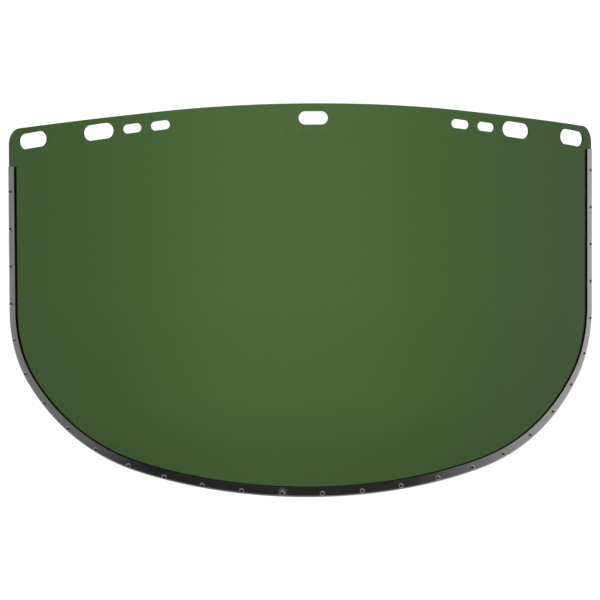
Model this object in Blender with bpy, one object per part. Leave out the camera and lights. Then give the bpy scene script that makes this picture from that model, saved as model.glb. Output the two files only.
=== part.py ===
"""Face shield window: a tinted plastic sheet held in an arc, with a metal channel round its edge.

Both pieces are drawn as flat patterns and then wrapped round an upright cylinder. A place in the
flat pattern is (across, up): the distance along the arc from the middle of the sheet, and the
height above the middle slot. A third number, out, is the distance in front of the sheet's
mid-surface. The origin is the middle slot's centre, -Y is the front and +Z is up.
"""

import math

import bmesh
import bpy

MM = 0.001

# The flat sheet
SHEET_WIDTH = 393.7 * MM
SHEET_HEIGHT = 228.6 * MM
SHEET_THICKNESS = 1.016 * MM
BEND_RADIUS = 242.0 * MM
COLUMNS = 71
CLOSEST_COLUMNS = 0.4 * MM
MERGED_STATIONS = 0.1 * MM
JAW_STATIONS = 9
JAW_STATION_TURN = math.radians(5.0)

# Top edge: a shallow arch that runs out into straight slopes, with rounded corners
TOP_ABOVE_SLOT = 8.5 * MM
TOP_ARCH_RADIUS = 940.0 * MM
TOP_SLOPE = math.radians(5.5)
TOP_CORNER_RADIUS = 10.0 * MM

# Bottom edge: three arcs that meet smoothly and end upright at the sides
CHIN_RADIUS = 410.0 * MM
CHIN_TURN = math.radians(14.75)
FLANK_RADIUS = 150.0 * MM
JAW_RADIUS = 66.0 * MM

# Slots: distance from the middle, distance below the top edge, length, width
SLOT_TILT = math.radians(7.0)
MIDDLE_SLOT = (17.0 * MM, 7.6 * MM)
SIDE_SLOTS = (
    (90.0 * MM, 8.1 * MM, 11.8 * MM, 5.25 * MM),
    (107.6 * MM, 8.1 * MM, 11.8 * MM, 5.25 * MM),
    (129.6 * MM, 7.9 * MM, 20.2 * MM, 9.1 * MM),
    (177.2 * MM, 8.1 * MM, 21.8 * MM, 9.1 * MM),
)
ARC_STEP = math.radians(22.5)
TOUCHING = 0.0001 * MM

# Edge binding: a U channel with its mouth towards the middle of the sheet
METAL = 0.4 * MM
GAP = 0.3 * MM
FRONT_FLANGE = 5.1 * MM
REAR_FLANGE = 5.5 * MM
FOLD_RADIUS = 0.8 * MM
FOLD_STEPS = 2
BINDING_LEFT_END = -28.1 * MM
BINDING_RIGHT_END = -19.3 * MM
BINDING_STEP = 6.0 * MM
BINDING_STEEPEST_TURN = math.radians(5.0)
SHARP_ANGLE = math.radians(60.0)

# Finishes: colour, roughness
GREEN_TINT = ((0.074, 0.138, 0.047), 0.05)
BARE_ALUMINIUM = ((0.62, 0.61, 0.60), 0.35)


def clear_scene():
    for thing in list(bpy.data.objects):
        bpy.data.objects.remove(thing)


def principled(name, finish, metallic, transmission):
    colour, roughness = finish
    material = bpy.data.materials.new(name)
    material.use_nodes = True
    shader = material.node_tree.nodes["Principled BSDF"]
    shader.inputs["Base Color"].default_value = (*colour, 1.0)
    shader.inputs["Roughness"].default_value = roughness
    shader.inputs["Metallic"].default_value = metallic
    shader.inputs["Transmission Weight"].default_value = transmission
    return material


def wrap(across, up, out):
    """Bends a place in the flat pattern on to the cylinder."""
    angle = across / BEND_RADIUS
    radius = BEND_RADIUS + out
    return (radius * math.sin(angle), BEND_RADIUS - radius * math.cos(angle), up)


def object_from(mesh_builder, name, parent, material):
    mesh = bpy.data.meshes.new(name)
    mesh_builder.normal_update()
    mesh_builder.to_mesh(mesh)
    mesh_builder.free()
    mesh.materials.append(material)
    piece = bpy.data.objects.new(name, mesh)
    piece.parent = parent
    bpy.context.scene.collection.objects.link(piece)
    return piece


# Outline of the sheet


def top_slope_height(across):
    """Height of the top edge's arch and straight slope, before the corner is rounded."""
    across = abs(across)
    arch_end = TOP_ARCH_RADIUS * math.sin(TOP_SLOPE)
    if across <= arch_end:
        return TOP_ABOVE_SLOT - TOP_ARCH_RADIUS + math.sqrt(TOP_ARCH_RADIUS**2 - across**2)
    arch_drop = TOP_ARCH_RADIUS * (1 - math.cos(TOP_SLOPE))
    return TOP_ABOVE_SLOT - arch_drop - (across - arch_end) * math.tan(TOP_SLOPE)


def top_corner_centre():
    across = SHEET_WIDTH / 2 - TOP_CORNER_RADIUS
    return across, top_slope_height(across) - TOP_CORNER_RADIUS / math.cos(TOP_SLOPE)


def top_height(across):
    across = abs(across)
    corner_across, corner_up = top_corner_centre()
    past = across - corner_across
    if past <= TOP_CORNER_RADIUS * math.sin(TOP_SLOPE):
        return top_slope_height(across)
    return corner_up + math.sqrt(max(0.0, TOP_CORNER_RADIUS**2 - past**2))


def bottom_arcs():
    """The right half's arcs as (centre across, centre up, radius, heading where the arc ends).

    A heading is the outward direction: 0 points straight down and a quarter turn points right.
    """
    chin_up = TOP_ABOVE_SLOT - SHEET_HEIGHT + CHIN_RADIUS
    flank_across = (CHIN_RADIUS - FLANK_RADIUS) * math.sin(CHIN_TURN)
    flank_up = chin_up - (CHIN_RADIUS - FLANK_RADIUS) * math.cos(CHIN_TURN)
    jaw_across = SHEET_WIDTH / 2 - JAW_RADIUS
    turn = math.asin((jaw_across - flank_across) / (FLANK_RADIUS - JAW_RADIUS))
    jaw_up = flank_up - (FLANK_RADIUS - JAW_RADIUS) * math.cos(turn)
    return (
        (0.0, chin_up, CHIN_RADIUS, CHIN_TURN),
        (flank_across, flank_up, FLANK_RADIUS, turn),
        (jaw_across, jaw_up, JAW_RADIUS, math.pi / 2),
    )


def bottom_point(heading, inset=0.0):
    """The bottom edge's point that faces a heading, moved inset towards the middle."""
    for across, up, radius, last in bottom_arcs():
        if abs(heading) <= last:
            break
    reach = radius - inset
    side = math.copysign(1.0, heading)
    return side * (across + reach * math.sin(abs(heading))), up - reach * math.cos(heading)


def bottom_height(across):
    for centre_across, up, radius, last in bottom_arcs():
        past = abs(across) - centre_across
        if past <= radius * math.sin(last):
            break
    return up - math.sqrt(max(0.0, radius**2 - past**2))


# Slots


def slots():
    """Every slot as (centre across, centre up, length, width, tilt), from left to right."""
    found = [(0.0, 0.0, *MIDDLE_SLOT, 0.0)]
    for across, below, length, width in SIDE_SLOTS:
        up = top_height(across) - below
        found.append((across, up, length, width, -SLOT_TILT))
        found.append((-across, up, length, width, SLOT_TILT))
    return sorted(found)


def slot_reach(slot):
    """Distance across from a slot's centre to the centre of either round end."""
    _, _, length, width, tilt = slot
    return (length - width) / 2 * math.cos(tilt)


def slot_edge(slot, across, side):
    """Height of a slot's upper edge (side 1) or lower edge (side -1)."""
    centre, up, _, width, tilt = slot
    radius = width / 2
    reach = slot_reach(slot)
    along = across + side * radius * math.sin(tilt)
    along = min(max(along, centre - reach), centre + reach)
    rise = math.sqrt(max(0.0, radius**2 - (across - along) ** 2))
    return up + (along - centre) * math.tan(tilt) + side * rise


def slot_over(left, right):
    """The slot that spans the whole of a column, if there is one."""
    middle = (left + right) / 2
    for slot in slots():
        if abs(middle - slot[0]) < slot_reach(slot) + slot[3] / 2:
            return slot
    return None


# Sheet


def stations():
    """Where the sheet is divided into upright columns, from the left edge to the right edge."""
    half = SHEET_WIDTH / 2
    needed = [-half, half]
    quarter = [i * ARC_STEP for i in range(round(math.pi / 2 / ARC_STEP) + 1)]
    for slot in slots():
        for side in (-1, 1):
            needed += [
                slot[0] + side * (slot_reach(slot) + slot[3] / 2 * math.sin(turn)) for turn in quarter
            ]
    for side in (-1, 1):
        corner_across = top_corner_centre()[0]
        needed += [side * (corner_across + TOP_CORNER_RADIUS * math.sin(turn)) for turn in quarter]
        jaw_across, _, radius, last = bottom_arcs()[-1]
        turns = [last - i * JAW_STATION_TURN for i in range(JAW_STATIONS)]
        needed += [side * (jaw_across + radius * math.sin(turn)) for turn in turns]
    chosen = []
    for place in sorted(needed):
        if not chosen or place - chosen[-1] > MERGED_STATIONS:
            chosen.append(place)
    for i in range(1, COLUMNS):
        place = -half + SHEET_WIDTH * i / COLUMNS
        if min(abs(place - other) for other in chosen) > CLOSEST_COLUMNS:
            chosen.append(place)
    return sorted(chosen)


def build_window(parent):
    builder = bmesh.new()
    places = stations()
    columns = []
    for across in places:
        heights = [bottom_height(across)]
        for slot in slots():
            if abs(across - slot[0]) < slot_reach(slot) + slot[3] / 2 + TOUCHING:
                heights += [slot_edge(slot, across, -1), slot_edge(slot, across, 1)]
        heights.append(top_height(across))
        column = []
        for up in heights:
            if column and up - column[-1].co.z < TOUCHING:
                column.append(column[-1])
            else:
                column.append(builder.verts.new(wrap(across, up, 0.0)))
        columns.append(column)
    for i in range(len(places) - 1):
        left, right = columns[i], columns[i + 1]
        if slot_over(places[i], places[i + 1]):
            spans = ((left[:2], right[:2]), (left[-2:], right[-2:]))
        else:
            spans = ((left, right),)
        for left_span, right_span in spans:
            loop = list(dict.fromkeys(right_span + left_span[::-1]))
            builder.faces.new(loop)
    material = principled("green_tint", GREEN_TINT, metallic=0.0, transmission=1.0)
    window = object_from(builder, "window", parent, material)
    thicken = window.modifiers.new("thickness", "SOLIDIFY")
    thicken.thickness = SHEET_THICKNESS
    thicken.offset = 0.0
    thicken.use_even_offset = True
    return window


# Binding


def channel_profile():
    """The U section as (inset from the sheet's edge, out), once round."""
    inner = SHEET_THICKNESS / 2 + GAP
    outer = inner + METAL
    turns = [math.pi / 2 * i / FOLD_STEPS for i in range(FOLD_STEPS + 1)]

    def fold(radius, half_depth):
        """The closed end of the U, from its front side round to its rear side."""
        across = FOLD_RADIUS - GAP - METAL
        centre = half_depth - radius
        front = [(across - radius * math.sin(t), centre + radius * math.cos(t)) for t in turns]
        return front + [(inset, -out) for inset, out in reversed(front)]

    outside = [(FRONT_FLANGE, outer), *fold(FOLD_RADIUS, outer), (REAR_FLANGE, -outer)]
    inside = [(FRONT_FLANGE, inner), *fold(FOLD_RADIUS - METAL, inner), (REAR_FLANGE, -inner)]
    return outside + inside[::-1]


def binding_route():
    """(heading, rise) along the binding: rise lifts the straight runs up the two sides."""
    headings = []
    start = 0.0
    for _, _, radius, last in bottom_arcs():
        step = min(BINDING_STEP / radius, BINDING_STEEPEST_TURN)
        count = math.ceil((last - start) / step)
        headings += [start + (last - start) * i / count for i in range(1, count + 1)]
        start = last
    side_foot = bottom_point(math.pi / 2)[1]
    route = [(-math.pi / 2, BINDING_LEFT_END - side_foot)]
    route += [(-heading, 0.0) for heading in reversed(headings)]
    route += [(heading, 0.0) for heading in [0.0, *headings]]
    route.append((math.pi / 2, BINDING_RIGHT_END - side_foot))
    return route


def build_binding(parent):
    builder = bmesh.new()
    rings = []
    for heading, rise in binding_route():
        ring = []
        for inset, out in channel_profile():
            across, up = bottom_point(heading, inset)
            ring.append(builder.verts.new(wrap(across, up + rise, out)))
        rings.append(ring)
    for first, second in zip(rings, rings[1:]):
        for i in range(len(first)):
            builder.faces.new((first[i - 1], first[i], second[i], second[i - 1]))
    builder.faces.new(rings[0][::-1])
    builder.faces.new(rings[-1])
    bmesh.ops.recalc_face_normals(builder, faces=builder.faces)
    material = principled("bare_aluminium", BARE_ALUMINIUM, metallic=1.0, transmission=0.0)
    binding = object_from(builder, "edge_binding", parent, material)
    binding.data.shade_smooth()
    binding.data.set_sharp_from_angle(angle=SHARP_ANGLE)
    return binding


clear_scene()
shield = bpy.data.objects.new("face_shield", None)
bpy.context.scene.collection.objects.link(shield)
build_window(shield)
build_binding(shield)
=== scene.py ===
"""The looks of the face shield window: a green tinted sheet and the aluminium channel round it.

A place in the sheet's flat pattern is (across, up), in metres from the middle slot's centre, and
out is the distance in front of the sheet's mid-surface. The pattern is wrapped round an upright
cylinder, as in the CAD. -Y is the front and +Z is up.
"""

import math

import bmesh
import bpy
from mathutils import Matrix, Vector


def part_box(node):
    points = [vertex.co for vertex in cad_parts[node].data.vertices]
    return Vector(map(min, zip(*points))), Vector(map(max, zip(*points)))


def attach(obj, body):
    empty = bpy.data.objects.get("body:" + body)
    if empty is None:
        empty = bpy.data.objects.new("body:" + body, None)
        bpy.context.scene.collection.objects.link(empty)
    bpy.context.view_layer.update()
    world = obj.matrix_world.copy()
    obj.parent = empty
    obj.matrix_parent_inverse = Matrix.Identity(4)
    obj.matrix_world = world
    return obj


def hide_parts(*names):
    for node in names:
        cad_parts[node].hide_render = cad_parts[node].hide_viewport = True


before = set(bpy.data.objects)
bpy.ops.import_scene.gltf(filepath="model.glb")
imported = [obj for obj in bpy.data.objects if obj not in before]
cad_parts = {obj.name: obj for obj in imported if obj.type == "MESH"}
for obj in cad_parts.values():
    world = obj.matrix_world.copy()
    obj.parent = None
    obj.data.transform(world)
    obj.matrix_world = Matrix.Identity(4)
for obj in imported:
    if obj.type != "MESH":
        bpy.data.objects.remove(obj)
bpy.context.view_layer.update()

MM = 0.001

# Sheet, as in the CAD: the top edge is an arch with straight slopes, the bottom three pairs of arcs
SHEET_WIDTH = 393.7 * MM
SHEET_HEIGHT = 228.6 * MM
SHEET_THICKNESS = 1.016 * MM
BEND_RADIUS = 242.0 * MM
TOP_ABOVE_SLOT = 8.5 * MM
TOP_ARCH_RADIUS = 940.0 * MM
TOP_SLOPE = math.radians(5.5)
TOP_CORNER_RADIUS = 10.0 * MM
CHIN_RADIUS = 410.0 * MM
CHIN_TURN = math.radians(14.75)
FLANK_RADIUS = 150.0 * MM
JAW_RADIUS = 66.0 * MM

# Slots, as in the CAD: distance from the middle, distance below the top edge, length, width
SLOT_TILT = math.radians(7.0)
MIDDLE_SLOT = (17.0 * MM, 7.6 * MM)
SIDE_SLOTS = (
    (90.0 * MM, 8.1 * MM, 11.8 * MM, 5.25 * MM),
    (107.6 * MM, 8.1 * MM, 11.8 * MM, 5.25 * MM),
    (129.6 * MM, 7.9 * MM, 20.2 * MM, 9.1 * MM),
    (177.2 * MM, 8.1 * MM, 21.8 * MM, 9.1 * MM),
)

# Fineness of the shown sheet
COLUMN_WIDTH = 1.2 * MM
CLOSEST_COLUMNS = 0.12 * MM
MERGED_STATIONS = 0.02 * MM
ARC_TURNS = 10
TOUCHING = 0.0001 * MM
EDGE_ROUNDING = 0.09 * MM
EDGE_STEPS = 2
SHARP_ANGLE = math.radians(50.0)
BROAD_FACE = 0.99

# Binding: the outer surface is the CAD's, and the metal reaches nearly to the sheet. FOLD and
# INNER_FOLD are how far inside the sheet's edge the fold's outer and inner rounds are centred.
BINDING_OUT = 1.208 * MM
BINDING_IN = 0.6 * MM
BINDING_OVERHANG = 0.7 * MM
FOLD = BINDING_OUT - BINDING_OVERHANG
INNER_FOLD = 0.2 * MM
FRONT_FLANGE = 5.1 * MM
REAR_FLANGE = 5.5 * MM
LIP_ROUNDING = 0.06 * MM
BINDING_LEFT_END = -28.1 * MM
BINDING_RIGHT_END = -19.3 * MM

# Fineness of the shown binding: steps round each corner, and how far apart the points are
LIP_STEPS = 3
INNER_LIP_STEPS = 2
FOLD_STEPS = 28
INNER_FOLD_STEPS = 10
REAR_STEPS = 4
END_STEP = 0.1 * MM
RING_STEP = 3.0 * MM
COARSE_STEP = 0.45 * MM
FINE_STEP = 0.125 * MM

# Stake marks pressed into the front flange, a little off a steady pitch and a straight line. Each
# of INSET_BUMPS is (mark number in the middle, how many marks wide, shift inwards). A mark has a
# flat floor painted dark as shade, then rises to the burr at PIT_RADIUS, and the burr ends at
# STAKE_REACH. The painted shade fades out up the pit's wall.
STAKES = 29
FIRST_STAKE = 15.1 * MM
STAKE_PITCH = 22.99 * MM
PITCH_SWING = 2.75 * MM
PITCH_SAG = 1.2 * MM
STAKE_INSET = 1.45 * MM
INSET_BUMPS = ((10.5, 2.5, -0.7 * MM), (20.3, 2.0, 0.55 * MM))
PIT_FLOOR = 0.66 * MM
PIT_RADIUS = 1.1 * MM
STAKE_REACH = 1.75 * MM
PIT_DEPTH = 0.2 * MM
PIT_SHADE_FADE = 1.5
BURR_HEIGHT = 0.2 * MM
OUTER_BURR = 0.35

# Marks of use on the front flange: a scored line across it, and a scuffed patch
SCORE_PLACE = 633.0 * MM
SCORE_WIDTH = 0.5 * MM
SCORE_DEPTH = 0.12 * MM
SCUFF_PLACE = 312.6 * MM
SCUFF_INSET = 1.9 * MM
SCUFF_REACH = 4.2 * MM

# Where the metal is rubbed bright, at the fold, and the share of the lip's rounding that is
# darkened
RUBBED_INSET = 0.3 * MM
DARKENED_LIP = 0.6

# Sheet material. A noise is (scale, detail, roughness, stretch) and a bump is (strength, distance).
# A roughness is (lowest noise, highest noise, roughness at the lowest, roughness at the highest).
SHEET_IOR = 1.49
TINT = (0.175, 0.378, 0.024, 1.0)
TINT_DENSITY = 3000.0
SMEARS = (26.0, 5.0, 0.62, (1.0, 1.0, 1.0))
STRIAE = (900.0, 2.0, 0.5, (1.0, 1.0, 0.35))
RIPPLE = (9.0, 1.0, 0.5, (1.0, 1.0, 1.0))
RIPPLE_SHARE = 0.05
POLISHED_ROUGHNESS = (0.35, 0.75, 0.012, 0.045)
CUT_ROUGHNESS = (0.3, 0.7, 0.3, 0.5)
SHEET_BUMP = (0.35, 0.1 * MM)

# Metal material. Noises are stretched along the strip and round its section. METAL_TONES are
# (noise, colour), and each ROUGHER or SMOOTHER is how much a place's roughness changes.
GRAIN = (1.0, 4.0, 0.6, (60.0, 5200.0, 1.0))
DRAWN_LINES = (1.0, 3.0, 0.5, (9.0, 1500.0, 1.0))
PATCHES = (1.0, 4.0, 0.6, (45.0, 160.0, 1.0))
SCRAPES = (1.0, 2.0, 0.5, (1500.0, 220.0, 1.0))
GRAIN_SHARE = 0.4
DRAWN_SHARE = 0.2
PATCH_SHARE = 0.4
METAL_TONES = (
    (0.36, (0.81, 0.8, 0.775, 1.0)),
    (0.5, (0.92, 0.91, 0.885, 1.0)),
    (0.64, (0.985, 0.977, 0.955, 1.0)),
)
BRIGHT_METAL = (0.99, 0.985, 0.97, 1.0)
# Dark colour painted into the stake pits' floors as shade, and also put on the lip and the scored
# line
DARKENED_TONE = (0.06, 0.057, 0.053, 1.0)
DARKENED_COVER = 0.9
METAL_ROUGHNESS = (0.35, 0.65, 0.16, 0.27)
RUBBED_SMOOTHER = 0.03
DARKENED_ROUGHER = 0.3
TORN_ROUGHER = 0.6
SCUFF_ROUGHER = 0.6
SCRAPE_STRENGTH = (0.35, 0.6, 0.35, 1.0)
METAL_BUMP = (0.25, 0.03 * MM)

# Camera
AIM = Vector((0.0, 0.0, -0.10569))
CAMERA_LEFT = math.radians(4.9)
CAMERA_ABOVE = math.radians(3.0)
CAMERA_DISTANCE = 1.9
CAMERA_SLIDE = 8.15 * MM
CAMERA_ROLL = math.radians(-0.25)
LENS = 196.1

# Stage and light: the backdrop is white, and a little duller where the sheet is looked through.
# FLOOR_TONES are (distance from the middle, brightness through the sheet), up to FLOOR_TONES_END.
# The pool of light narrows to POOL_APEX and lies along POOL_LINE, and falls off between POOL_EDGES.
FLOOR_BELOW = 0.35
FLOOR_SIZE = 1600.0
FLOOR_SIDES = 96
FLOOR_TONES = ((3.3, 0.71), (3.5, 0.73), (3.83, 0.76), (4.2, 0.82), (4.9, 0.91), (8.9, 1.0))
FLOOR_TONES_END = 10.0
WHITE = 1.06
AMBIENT = 1.35
POOL_APEX = (-0.162, -1.89)
POOL_LINE = math.radians(4.9)
POOL_EDGES = (math.radians(1.0), math.radians(4.3))
POOL_FALL = 0.17

# What is reflected: (degrees round from the front, brightness), then the tones below and above,
# which take over as the direction gets as steep as STEEP. Light that has passed through more
# surfaces than DEEP_PATH sees them too.
ROOM_WALLS = (
    (-180, 0.75),
    (-125, 0.625),
    (-105, 0.267),
    (-92, 0.208),
    (-84, 0.158),
    (-72, 0.138),
    (-62, 0.096),
    (-56, 0.058),
    (-50, 0.018),
    (-44, 0.013),
    (0, 0.02),
    (38, 0.015),
    (42, 0.058),
    (48, 0.094),
    (54, 0.138),
    (66, 0.229),
    (77, 0.315),
    (100, 0.345),
    (125, 0.625),
    (180, 0.75),
)
ROOM_FLOOR = 0.17
ROOM_CEILING = 0.72
STEEP = (0.3, 0.9)
DEEP_PATH = 2.5


# Shared shapes


def wrap(across, up, out):
    """The place in space of a place in the flat pattern."""
    angle = across / BEND_RADIUS
    radius = BEND_RADIUS + out
    return (radius * math.sin(angle), BEND_RADIUS - radius * math.cos(angle), up)


def top_slope_height(across):
    """Height of the top edge, as if it had no rounded corners."""
    across = abs(across)
    arch_end = TOP_ARCH_RADIUS * math.sin(TOP_SLOPE)
    if across <= arch_end:
        return TOP_ABOVE_SLOT - TOP_ARCH_RADIUS + math.sqrt(TOP_ARCH_RADIUS**2 - across**2)
    arch_drop = TOP_ARCH_RADIUS * (1 - math.cos(TOP_SLOPE))
    return TOP_ABOVE_SLOT - arch_drop - (across - arch_end) * math.tan(TOP_SLOPE)


def top_corner_centre():
    across = SHEET_WIDTH / 2 - TOP_CORNER_RADIUS
    return across, top_slope_height(across) - TOP_CORNER_RADIUS / math.cos(TOP_SLOPE)


def top_height(across):
    """Height of the top edge, with its rounded corners."""
    across = abs(across)
    corner_across, corner_up = top_corner_centre()
    past = across - corner_across
    if past <= TOP_CORNER_RADIUS * math.sin(TOP_SLOPE):
        return top_slope_height(across)
    return corner_up + math.sqrt(max(0.0, TOP_CORNER_RADIUS**2 - past**2))


def bottom_arcs():
    """The right half's arcs as (centre across, centre up, radius, heading where the arc ends)."""
    chin_up = TOP_ABOVE_SLOT - SHEET_HEIGHT + CHIN_RADIUS
    flank_across = (CHIN_RADIUS - FLANK_RADIUS) * math.sin(CHIN_TURN)
    flank_up = chin_up - (CHIN_RADIUS - FLANK_RADIUS) * math.cos(CHIN_TURN)
    jaw_across = SHEET_WIDTH / 2 - JAW_RADIUS
    turn = math.asin((jaw_across - flank_across) / (FLANK_RADIUS - JAW_RADIUS))
    jaw_up = flank_up - (FLANK_RADIUS - JAW_RADIUS) * math.cos(turn)
    return (
        (0.0, chin_up, CHIN_RADIUS, CHIN_TURN),
        (flank_across, flank_up, FLANK_RADIUS, turn),
        (jaw_across, jaw_up, JAW_RADIUS, math.pi / 2),
    )


def bottom_point(heading, inset=0.0):
    """The bottom edge's point that faces a heading, moved inset towards the middle."""
    for across, up, radius, last in bottom_arcs():
        if abs(heading) <= last:
            break
    reach = radius - inset
    side = math.copysign(1.0, heading)
    return side * (across + reach * math.sin(abs(heading))), up - reach * math.cos(heading)


def bottom_height(across):
    for centre_across, up, radius, last in bottom_arcs():
        past = abs(across) - centre_across
        if past <= radius * math.sin(last):
            break
    return up - math.sqrt(max(0.0, radius**2 - past**2))


def slots():
    """Every slot as (centre across, centre up, length, width, tilt), from left to right."""
    found = [(0.0, 0.0, *MIDDLE_SLOT, 0.0)]
    for across, below, length, width in SIDE_SLOTS:
        up = top_height(across) - below
        found.append((across, up, length, width, -SLOT_TILT))
        found.append((-across, up, length, width, SLOT_TILT))
    return sorted(found)


def slot_reach(slot):
    """How far across the centres of a slot's round ends are from its own centre."""
    _, _, length, width, tilt = slot
    return (length - width) / 2 * math.cos(tilt)


def slot_edge(slot, across, side):
    """Height of a slot's upper edge (side 1) or lower edge (side -1)."""
    centre, up, _, width, tilt = slot
    radius = width / 2
    reach = slot_reach(slot)
    along = across + side * radius * math.sin(tilt)
    along = min(max(along, centre - reach), centre + reach)
    rise = math.sqrt(max(0.0, radius**2 - (across - along) ** 2))
    return up + (along - centre) * math.tan(tilt) + side * rise


SLOTS = slots()


def slot_over(left, right):
    """The slot that lies between two upright lines, if there is one."""
    middle = (left + right) / 2
    for slot in SLOTS:
        if abs(middle - slot[0]) < slot_reach(slot) + slot[3] / 2:
            return slot
    return None


# Node helpers


def add(tree, kind, **settings):
    """A node, with its settings given by name and its inputs' values in a dict called at."""
    made = tree.nodes.new(kind)
    for key, value in settings.pop("at", {}).items():
        made.inputs[key].default_value = value
    for key, value in settings.items():
        setattr(made, key, value)
    return made


def link(tree, source, target):
    tree.links.new(source, target)


def maths(tree, operation, first, second=None, third=None):
    """A maths node's result. Each value is a number or another node's output."""
    made = add(tree, "ShaderNodeMath", operation=operation)
    for socket, value in zip(made.inputs, (first, second, third)):
        if value is None:
            continue
        if isinstance(value, (int, float)):
            socket.default_value = value
        else:
            link(tree, value, socket)
    return made.outputs[0]


def spread(tree, value, low, high, to_low, to_high):
    """A value moved smoothly from one range to another and held inside it."""
    made = add(tree, "ShaderNodeMapRange", interpolation_type="SMOOTHSTEP")
    link(tree, value, made.inputs["Value"])
    for name, number in (
        ("From Min", low),
        ("From Max", high),
        ("To Min", to_low),
        ("To Max", to_high),
    ):
        made.inputs[name].default_value = number
    return made.outputs["Result"]


def noise(tree, vector, scale, detail, roughness, stretch):
    """A noise texture's value, from 0 to 1."""
    mapping = add(tree, "ShaderNodeMapping", at={"Scale": stretch})
    link(tree, vector, mapping.inputs["Vector"])
    settings = {"Scale": scale, "Detail": detail, "Roughness": roughness}
    made = add(tree, "ShaderNodeTexNoise", at=settings)
    link(tree, mapping.outputs["Vector"], made.inputs["Vector"])
    return made.outputs["Fac"]


def ramp(tree, value, *stops):
    """A value turned into a colour by stops of (place, colour)."""
    made = add(tree, "ShaderNodeValToRGB")
    elements = made.color_ramp.elements
    for element, (place, colour) in ((elements[0], stops[0]), (elements[1], stops[-1])):
        element.position = place
        element.color = colour
    for place, colour in stops[1:-1]:
        elements.new(place).color = colour
    link(tree, value, made.inputs["Fac"])
    return made.outputs["Color"]


def grey(value):
    return (value, value, value, 1.0)


def blend_colours(tree, factor, first, second):
    """Two colours mixed. Each is a colour or another node's output."""
    made = add(tree, "ShaderNodeMix", data_type="RGBA")
    link(tree, factor, made.inputs["Factor"])
    for name, colour in (("A", first), ("B", second)):
        if isinstance(colour, tuple):
            made.inputs[name].default_value = colour
        else:
            link(tree, colour, made.inputs[name])
    return made.outputs["Result"]


def attribute(tree, name):
    return add(tree, "ShaderNodeAttribute", attribute_name=name).outputs["Fac"]


def add_bump(tree, height, bump, shader):
    """A bump of (strength, distance) on the shader's normal."""
    made = add(tree, "ShaderNodeBump", at={"Strength": bump[0], "Distance": bump[1]})
    link(tree, height, made.inputs["Height"])
    link(tree, made.outputs["Normal"], shader.inputs["Normal"])


def new_material(name):
    """A new material, its node tree and its shader."""
    material = bpy.data.materials.new(name)
    material.use_nodes = True
    tree = material.node_tree
    return material, tree, tree.nodes["Principled BSDF"]


# Materials


def green_tint():
    """Clear green sheet: the colour is in its depth, so it is darker where it is looked through
    at a slant. The surface has faint ripples and smears, and the cut edges are dull."""
    material, tree, shader = new_material("green_tint")
    shader.inputs["Base Color"].default_value = grey(1.0)
    shader.inputs["Transmission Weight"].default_value = 1.0
    shader.inputs["IOR"].default_value = SHEET_IOR
    place = add(tree, "ShaderNodeTexCoord").outputs["Object"]
    cut = attribute(tree, "cut_edge")
    polish = spread(tree, noise(tree, place, *SMEARS), *POLISHED_ROUGHNESS)
    striae = noise(tree, place, *STRIAE)
    dull = maths(tree, "MULTIPLY", spread(tree, striae, *CUT_ROUGHNESS), cut)
    link(tree, maths(tree, "MAXIMUM", polish, dull), shader.inputs["Roughness"])
    ripple = maths(tree, "MULTIPLY", noise(tree, place, *RIPPLE), RIPPLE_SHARE)
    cut_lines = maths(tree, "MULTIPLY", striae, cut)
    add_bump(tree, maths(tree, "ADD", ripple, cut_lines), SHEET_BUMP, shader)
    tint = add(tree, "ShaderNodeVolumeAbsorption", at={"Color": TINT, "Density": TINT_DENSITY})
    link(tree, tint.outputs["Volume"], tree.nodes["Material Output"].inputs["Volume"])
    return material


def bare_aluminium():
    """Rolled aluminium: a fine grain along the strip, duller patches, a rubbed fold, painted shade
    on the pit floors, a darker lip and scored line, and rough torn metal round the pits."""
    material, tree, shader = new_material("bare_aluminium")
    shader.inputs["Metallic"].default_value = 1.0
    strip = add(tree, "ShaderNodeUVMap", uv_map="strip").outputs["UV"]
    rubbed, darkened_mask, torn = (attribute(tree, name) for name in ("rubbed", "darkened_mask", "torn"))
    mixed = maths(tree, "MULTIPLY", noise(tree, strip, *GRAIN), GRAIN_SHARE)
    drawn = noise(tree, strip, *DRAWN_LINES)
    mixed = maths(tree, "MULTIPLY_ADD", drawn, DRAWN_SHARE, mixed)
    patches = noise(tree, strip, *PATCHES)
    mixed = maths(tree, "MULTIPLY_ADD", patches, PATCH_SHARE, mixed)
    bright = maths(tree, "MAXIMUM", rubbed, torn)
    colour = blend_colours(tree, bright, ramp(tree, mixed, *METAL_TONES), BRIGHT_METAL)
    # Painted shade darkens the pit floors, and the lip and the scored line are darkened as well
    darkened_share = maths(tree, "MULTIPLY", darkened_mask, DARKENED_COVER)
    link(tree, blend_colours(tree, darkened_share, colour, DARKENED_TONE), shader.inputs["Base Color"])
    roughness = spread(tree, mixed, *METAL_ROUGHNESS)
    for place, rougher in (
        (rubbed, -RUBBED_SMOOTHER),
        (darkened_mask, DARKENED_ROUGHER),
        (torn, TORN_ROUGHER),
    ):
        roughness = maths(tree, "MULTIPLY_ADD", place, rougher, roughness)
    from_scuff = add(tree, "ShaderNodeVectorMath", operation="DISTANCE")
    link(tree, strip, from_scuff.inputs[0])
    from_scuff.inputs[1].default_value = (SCUFF_PLACE, FRONT_FLANGE - SCUFF_INSET, 0.0)
    apart = from_scuff.outputs["Value"]
    scuffed = spread(tree, apart, 0.0, SCUFF_REACH, SCUFF_ROUGHER, 0.0)
    scrapes = spread(tree, noise(tree, strip, *SCRAPES), *SCRAPE_STRENGTH)
    roughness = maths(tree, "MULTIPLY_ADD", scuffed, scrapes, roughness)
    link(tree, roughness, shader.inputs["Roughness"])
    add_bump(tree, mixed, METAL_BUMP, shader)
    return material


# Pieces


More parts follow.
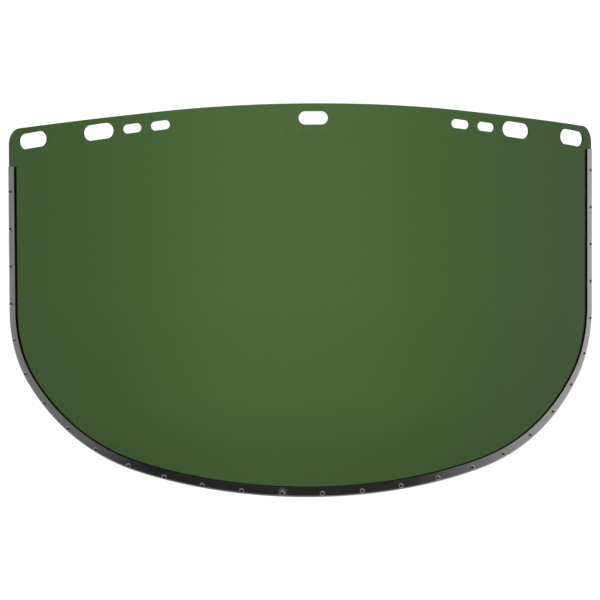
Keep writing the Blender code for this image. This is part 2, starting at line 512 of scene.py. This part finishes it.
def as_piece(builder, name, material):
    """The builder's mesh as an object in the scene."""
    mesh = bpy.data.meshes.new(name)
    builder.to_mesh(mesh)
    builder.free()
    mesh.materials.append(material)
    piece = bpy.data.objects.new(name, mesh)
    bpy.context.scene.collection.objects.link(piece)
    return piece


# Window


def stations():
    """Where the sheet is divided into upright columns, close together round every arc."""
    half = SHEET_WIDTH / 2
    quarter = [math.pi / 2 * i / ARC_TURNS for i in range(ARC_TURNS + 1)]
    needed = [-half, half]
    for slot in SLOTS:
        ends = [slot_reach(slot) + slot[3] / 2 * math.sin(turn) for turn in quarter]
        needed += [slot[0] + end for end in ends] + [slot[0] - end for end in ends]
    corner = [top_corner_centre()[0] + TOP_CORNER_RADIUS * math.sin(turn) for turn in quarter]
    jaw_across, _, radius, _ = bottom_arcs()[-1]
    jaw = [jaw_across + radius * math.sin(math.pi / 4 + turn / 2) for turn in quarter]
    needed += corner + jaw + [-across for across in corner + jaw]
    chosen = []
    for place in sorted(needed):
        if not chosen or place - chosen[-1] > MERGED_STATIONS:
            chosen.append(place)
    fixed = list(chosen)
    columns = round(SHEET_WIDTH / COLUMN_WIDTH)
    for i in range(1, columns):
        place = -half + SHEET_WIDTH * i / columns
        if min(abs(place - other) for other in fixed) > CLOSEST_COLUMNS:
            chosen.append(place)
    return sorted(chosen)


def flat_column(across):
    """Heights of the outline and slot edges on one upright line, from the bottom."""
    heights = [bottom_height(across)]
    for slot in SLOTS:
        if abs(across - slot[0]) < slot_reach(slot) + slot[3] / 2 + TOUCHING:
            heights += [slot_edge(slot, across, -1), slot_edge(slot, across, 1)]
    return [*heights, top_height(across)]


def settled(piece):
    """The piece's mesh, once its modifiers are made part of it."""
    view = bpy.context.evaluated_depsgraph_get()
    mesh = bpy.data.meshes.new_from_object(piece.evaluated_get(view))
    piece.modifiers.clear()
    piece.data = mesh
    return mesh


def build_window(material):
    """Upright columns of faces between the slots and edges, wrapped, thickened and softened."""
    builder = bmesh.new()
    places = stations()
    columns = []
    for across in places:
        column = []
        for up in flat_column(across):
            if column and up - column[-1].co.z < TOUCHING:
                column.append(column[-1])
            else:
                column.append(builder.verts.new(wrap(across, up, 0.0)))
        columns.append(column)
    for i in range(len(places) - 1):
        left, right = columns[i], columns[i + 1]
        if slot_over(places[i], places[i + 1]):
            spans = ((left[:2], right[:2]), (left[-2:], right[-2:]))
        else:
            spans = ((left, right),)
        # A column that closes to a point gives the same corner twice, and dict.fromkeys drops it
        for left_span, right_span in spans:
            builder.faces.new(dict.fromkeys(right_span + left_span[::-1]))
    window = as_piece(builder, "tinted_window", material)
    thicken = window.modifiers.new("thickness", "SOLIDIFY")
    thicken.thickness = SHEET_THICKNESS
    thicken.offset = 0.0
    thicken.use_even_offset = True
    soften = window.modifiers.new("edges", "BEVEL")
    soften.width = EDGE_ROUNDING
    soften.segments = EDGE_STEPS
    soften.limit_method = "ANGLE"
    soften.angle_limit = SHARP_ANGLE
    smooth_sheet(settled(window))
    return window


def smooth_sheet(mesh):
    """Gives the two broad faces the cylinder's own normals, and marks the rest as cut edge."""
    cut = mesh.attributes.new("cut_edge", "FLOAT", "FACE")
    normals = [Vector((0.0, 0.0, 0.0)) for _ in mesh.vertices]
    for polygon in mesh.polygons:
        outward = (polygon.center - Vector((0.0, BEND_RADIUS, polygon.center.z))).normalized()
        facing = polygon.normal.dot(outward)
        cut.data[polygon.index].value = float(abs(facing) < BROAD_FACE)
        if abs(facing) < BROAD_FACE:
            continue
        for number in polygon.vertices:
            place = mesh.vertices[number].co
            spoke = Vector((place.x, place.y - BEND_RADIUS, 0.0)).normalized()
            normals[number] = spoke * math.copysign(1.0, facing)
    mesh.shade_smooth()
    mesh.normals_split_custom_set_from_vertices(normals)


# Binding


def route():
    """The binding's stretches from its left end to its right, as (length, headings). The upright
    stretch at each end has no headings, and a curved one has those where it starts and ends."""
    foot = bottom_point(math.pi / 2)[1]
    arcs = []
    start = 0.0
    for _, _, radius, last in bottom_arcs():
        arcs.append((start, last, radius))
        start = last
    stretches = [(BINDING_LEFT_END - foot, None)]
    stretches += [(radius * (last - first), (-last, -first)) for first, last, radius in arcs[::-1]]
    stretches += [(radius * (last - first), (first, last)) for first, last, radius in arcs]
    stretches += [(BINDING_RIGHT_END - foot, None)]
    return stretches


def route_place(stretches, distance):
    """(heading, rise above the curves) at a distance from the binding's left end."""
    for number, (length, headings) in enumerate(stretches):
        if distance <= length or number == len(stretches) - 1:
            break
        distance -= length
    if headings is None and number == 0:
        return -math.pi / 2, length - distance
    if headings is None:
        return math.pi / 2, distance
    first, last = headings
    return first + (last - first) * distance / length, 0.0


def stakes():
    """The stake marks as (distance along the binding, inset)."""
    marks = []
    for i in range(STAKES):
        turn = 2 * math.pi * i / (STAKES - 1)
        drift = PITCH_SWING * math.sin(turn) + PITCH_SAG * (1 - math.cos(turn)) / 2
        inset = STAKE_INSET
        for middle, width, shift in INSET_BUMPS:
            inset += shift * math.exp(-(((i - middle) / width) ** 2))
        marks.append((FIRST_STAKE + STAKE_PITCH * i - drift, inset))
    return marks


def ring_distances(total, marks):
    """Every distance at which the channel has a ring: fine steps at the marks, coarse between."""
    fine = math.ceil(STAKE_REACH / FINE_STEP)
    found = [0.0, END_STEP, total - END_STEP, total]
    found += [SCORE_PLACE + SCORE_WIDTH / 4 * i for i in range(-2, 3)]
    for mark, _ in marks:
        found += [mark + STAKE_REACH * i / fine for i in range(-fine, fine + 1)]
    coarse = math.ceil(total / RING_STEP)
    for i in range(1, coarse):
        place = total * i / coarse
        apart = min(abs(place - mark) for mark, _ in marks)
        if apart > STAKE_REACH + RING_STEP / 3 and abs(place - SCORE_PLACE) > SCORE_WIDTH:
            found.append(place)
    return sorted(found)


def arc(inset, out, radius, first, last, steps):
    """Points round a corner, each as (inset, out, direction that the surface faces)."""
    points = []
    for i in range(steps + 1):
        turn = math.radians(first + (last - first) * i / steps)
        facing = (math.cos(turn), math.sin(turn))
        points.append((inset + radius * facing[0], out + radius * facing[1], facing))
    return points


def channel_profile():
    """The U section once round: front face, fold, rear face, and then the inside."""
    lip = LIP_ROUNDING
    small = lip / 2
    fine_end = max(inset for _, inset in stakes()) + STAKE_REACH
    front_end = FRONT_FLANGE - lip
    coarse = math.ceil((front_end - fine_end) / COARSE_STEP)
    fine = math.ceil((fine_end - FOLD) / FINE_STEP)
    flat = [front_end - (front_end - fine_end) * i / coarse for i in range(1, coarse)]
    flat += [fine_end - (fine_end - FOLD) * i / fine for i in range(fine)]
    rear = [FOLD + (REAR_FLANGE - lip - FOLD) * i / REAR_STEPS for i in range(1, REAR_STEPS)]
    return (
        arc(front_end, BINDING_OUT - lip, lip, 0, 90, LIP_STEPS)
        + [(inset, BINDING_OUT, (0.0, 1.0)) for inset in flat]
        + arc(FOLD, 0.0, BINDING_OUT, 90, 270, FOLD_STEPS)
        + [(inset, -BINDING_OUT, (0.0, -1.0)) for inset in rear]
        + arc(REAR_FLANGE - lip, lip - BINDING_OUT, lip, -90, 0, LIP_STEPS)
        + arc(REAR_FLANGE - small, -BINDING_IN - small, small, 0, 90, INNER_LIP_STEPS)
        + arc(INNER_FOLD, 0.0, BINDING_IN, 270, 90, INNER_FOLD_STEPS)
        + arc(FRONT_FLANGE - small, BINDING_IN + small, small, 270, 360, INNER_LIP_STEPS)
    )


def across_front(inset, out):
    """Distance over the front face and the fold, which is the inset where the face is flat."""
    if inset >= FOLD:
        return inset
    return FOLD - BINDING_OUT * math.atan2(FOLD - inset, out)


def stake_shape(along, over):
    """(lift, darkening, torn) at a place beside a stake mark's centre: a round pit whose flat floor
    is painted dark as shade, inside a burr of torn metal that is stronger away from the fold. Lift
    is outwards."""
    from_centre = math.hypot(along, over)
    if from_centre >= STAKE_REACH:
        return 0.0, 0.0, 0.0
    if from_centre <= PIT_FLOOR:
        return -PIT_DEPTH, 1.0, 0.0
    inward = 0.5 + 0.5 * over / from_centre
    strength = OUTER_BURR + (1 - OUTER_BURR) * inward
    if from_centre <= PIT_RADIUS:
        share = (from_centre - PIT_FLOOR) / (PIT_RADIUS - PIT_FLOOR)
        rise = 0.5 - 0.5 * math.cos(math.pi * share)
        torn = strength * rise
        # Painted shade: dark on the pit's floor, fading out up its wall
        darkening_level = max(0.0, 1 - PIT_SHADE_FADE * share)
        return BURR_HEIGHT * torn - PIT_DEPTH * (1 - rise), darkening_level, torn
    share = (from_centre - PIT_RADIUS) / (STAKE_REACH - PIT_RADIUS)
    torn = strength * (0.5 + 0.5 * math.cos(math.pi * share))
    return BURR_HEIGHT * torn, 0.0, torn


def score_shape(along):
    """(lift, darkening, torn) of the scored line at a distance along the binding from its middle.
    It is darker towards the groove's middle.
    """
    share = min(1.0, abs(along) / (SCORE_WIDTH / 2))
    return -SCORE_DEPTH * (1 - share), 1 - share, 0.0


def front_mark(inset, out, distance, mark, mark_inset):
    """(lift, darkening, torn) at a place on the channel, whose nearest stake mark is at a distance,
    mark, and at mark_inset."""
    if out > BINDING_IN and abs(distance - SCORE_PLACE) < SCORE_WIDTH:
        return score_shape(distance - SCORE_PLACE)
    if out > BINDING_IN + LIP_ROUNDING:
        return stake_shape(distance - mark, across_front(inset, out) - mark_inset)
    return 0.0, 0.0, 0.0


def build_binding(material):
    """Rings of the channel's section along its route. Its UV map, strip, is in metres: along the
    channel and round its section."""
    stretches = route()
    total = sum(length for length, _ in stretches)
    marks = stakes()
    profile = channel_profile()
    lengths = [0.0]
    for first, second in zip(profile, profile[1:] + profile[:1]):
        lengths.append(lengths[-1] + math.dist(first[:2], second[:2]))
    builder = bmesh.new()
    strip = builder.loops.layers.uv.new("strip")
    rubbed = builder.verts.layers.float.new("rubbed")
    darkened_mask = builder.verts.layers.float.new("darkened_mask")
    torn = builder.verts.layers.float.new("torn")
    rings = []
    distances = ring_distances(total, marks)
    for distance in distances:
        heading, rise = route_place(stretches, distance)
        mark, mark_inset = min(marks, key=lambda each: abs(each[0] - distance))
        ring = []
        for inset, out, facing in profile:
            lift, darkening_level, tear = front_mark(inset, out, distance, mark, mark_inset)
            across, up = bottom_point(heading, inset + lift * facing[0])
            point = builder.verts.new(wrap(across, up + rise, out + lift * facing[1]))
            # The lip is darkened along its rounding, and the pit floors and scored line carry their
            # darkening, painted shade in the pits
            at_lip = out > 0 and inset > FRONT_FLANGE - LIP_ROUNDING * DARKENED_LIP
            point[rubbed] = float(inset < RUBBED_INSET)
            point[darkened_mask] = 1.0 if at_lip else darkening_level
            point[torn] = tear
            ring.append(point)
        rings.append(ring)
    for i in range(len(rings) - 1):
        for j in range(len(profile)):
            after = (j + 1) % len(profile)
            corners = (
                (rings[i][j], distances[i], lengths[j]),
                (rings[i][after], distances[i], lengths[j + 1]),
                (rings[i + 1][after], distances[i + 1], lengths[j + 1]),
                (rings[i + 1][j], distances[i + 1], lengths[j]),
            )
            face = builder.faces.new([point for point, _, _ in corners])
            for loop, (_, along, round_section) in zip(face.loops, corners):
                loop[strip].uv = (along, round_section)
    for ring, distance in ((rings[0][::-1], 0.0), (rings[-1], total)):
        face = builder.faces.new(ring)
        for loop in face.loops:
            loop[strip].uv = (distance, loop.vert.co.y)
    bmesh.ops.recalc_face_normals(builder, faces=builder.faces)
    binding = as_piece(builder, "aluminium_binding", material)
    binding.data.shade_smooth()
    binding.data.set_sharp_from_angle(angle=SHARP_ANGLE)
    return binding


# Stage, light and camera


def pool_tone(tree, x, y):
    """How bright the pool of light is in a direction across the floor: full along its line."""
    angle = maths(tree, "ARCTAN2", x, y)
    aside = maths(tree, "ABSOLUTE", maths(tree, "SUBTRACT", angle, POOL_LINE))
    return spread(tree, aside, *POOL_EDGES, 1.0, 1.0 - POOL_FALL)


def build_floor(height):
    """A white floor. Rays that have passed the sheet see its pool of light instead."""
    material, tree, shader = new_material("pale_floor")
    place = add(tree, "ShaderNodeTexCoord").outputs["Object"]
    distance = add(tree, "ShaderNodeVectorMath", operation="LENGTH")
    link(tree, place, distance.inputs[0])
    share = maths(tree, "DIVIDE", distance.outputs["Value"], FLOOR_TONES_END)
    tones = [(reach / FLOOR_TONES_END, grey(tone)) for reach, tone in FLOOR_TONES]
    near_tone = ramp(tree, share, *tones)
    parts = add(tree, "ShaderNodeSeparateXYZ")
    link(tree, place, parts.inputs[0])
    x = maths(tree, "SUBTRACT", parts.outputs["X"], POOL_APEX[0])
    y = maths(tree, "SUBTRACT", parts.outputs["Y"], POOL_APEX[1])
    tone = maths(tree, "MULTIPLY", near_tone, pool_tone(tree, x, y))
    tone = maths(tree, "DIVIDE", tone, AMBIENT)
    camera_ray = add(tree, "ShaderNodeLightPath").outputs["Is Camera Ray"]
    colour = blend_colours(tree, camera_ray, tone, grey(WHITE / AMBIENT))
    link(tree, colour, shader.inputs["Base Color"])
    shader.inputs["Roughness"].default_value = 1.0
    shader.inputs["Specular IOR Level"].default_value = 0.0
    builder = bmesh.new()
    radius = FLOOR_SIZE / 2
    bmesh.ops.create_circle(builder, cap_ends=True, segments=FLOOR_SIDES, radius=radius)
    bmesh.ops.translate(builder, verts=builder.verts, vec=(0.0, 0.0, height))
    floor = as_piece(builder, "floor", material)
    floor.visible_glossy = False


def build_world():
    """A bright room: a white backdrop, and greys all round for the metal to reflect."""
    world = bpy.data.worlds.new("studio")
    bpy.context.scene.world = world
    world.use_nodes = True
    world.cycles.sampling_method = "NONE"
    tree = world.node_tree
    direction = add(tree, "ShaderNodeTexCoord").outputs["Generated"]
    parts = add(tree, "ShaderNodeSeparateXYZ")
    link(tree, direction, parts.inputs[0])
    x, y, z = parts.outputs
    azimuth = maths(tree, "ARCTAN2", x, maths(tree, "MULTIPLY", y, -1.0))
    turn = maths(tree, "MULTIPLY_ADD", azimuth, 0.5 / math.pi, 0.5)
    walls = [(0.5 + angle / 360, grey(level)) for angle, level in ROOM_WALLS]
    around = ramp(tree, turn, *walls)
    tilt = maths(tree, "MULTIPLY_ADD", z, 0.5, 0.5)
    ends = ramp(tree, tilt, (0.0, grey(ROOM_FLOOR)), (1.0, grey(ROOM_CEILING)))
    steep = spread(tree, maths(tree, "ABSOLUTE", z), *STEEP, 0.0, 1.0)
    room = blend_colours(tree, steep, around, ends)
    path = add(tree, "ShaderNodeLightPath").outputs
    backdrop = blend_colours(tree, path["Is Camera Ray"], pool_tone(tree, x, y), grey(WHITE))
    deep = maths(tree, "GREATER_THAN", path["Transmission Depth"], DEEP_PATH)
    indirect = maths(tree, "MAXIMUM", path["Is Reflection Ray"], deep)
    seen = blend_colours(tree, indirect, backdrop, room)
    final = blend_colours(tree, path["Is Diffuse Ray"], seen, grey(AMBIENT))
    link(tree, final, tree.nodes["Background"].inputs["Color"])


def build_camera():
    """The photograph's view: a long lens, a little to the left of the shield and above it."""
    data = bpy.data.cameras.new("camera")
    data.lens = LENS
    camera = bpy.data.objects.new("camera", data)
    bpy.context.scene.collection.objects.link(camera)
    forward = Vector(
        (
            math.sin(CAMERA_LEFT) * math.cos(CAMERA_ABOVE),
            math.cos(CAMERA_LEFT) * math.cos(CAMERA_ABOVE),
            -math.sin(CAMERA_ABOVE),
        )
    )
    turn = forward.to_track_quat("-Z", "Y").to_matrix() @ Matrix.Rotation(CAMERA_ROLL, 3, "Z")
    place = AIM - forward * CAMERA_DISTANCE - turn.col[0] * CAMERA_SLIDE
    camera.matrix_world = Matrix.Translation(place) @ turn.to_4x4()
    bpy.context.scene.camera = camera


bpy.context.scene.view_settings.view_transform = "Standard"
build_camera()
build_world()
window_low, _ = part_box("window")
build_floor(window_low.z - FLOOR_BELOW)
window = build_window(green_tint())
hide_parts("window")
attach(window, "root")
binding = build_binding(bare_aluminium())
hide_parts("edge_binding")
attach(binding, "root")
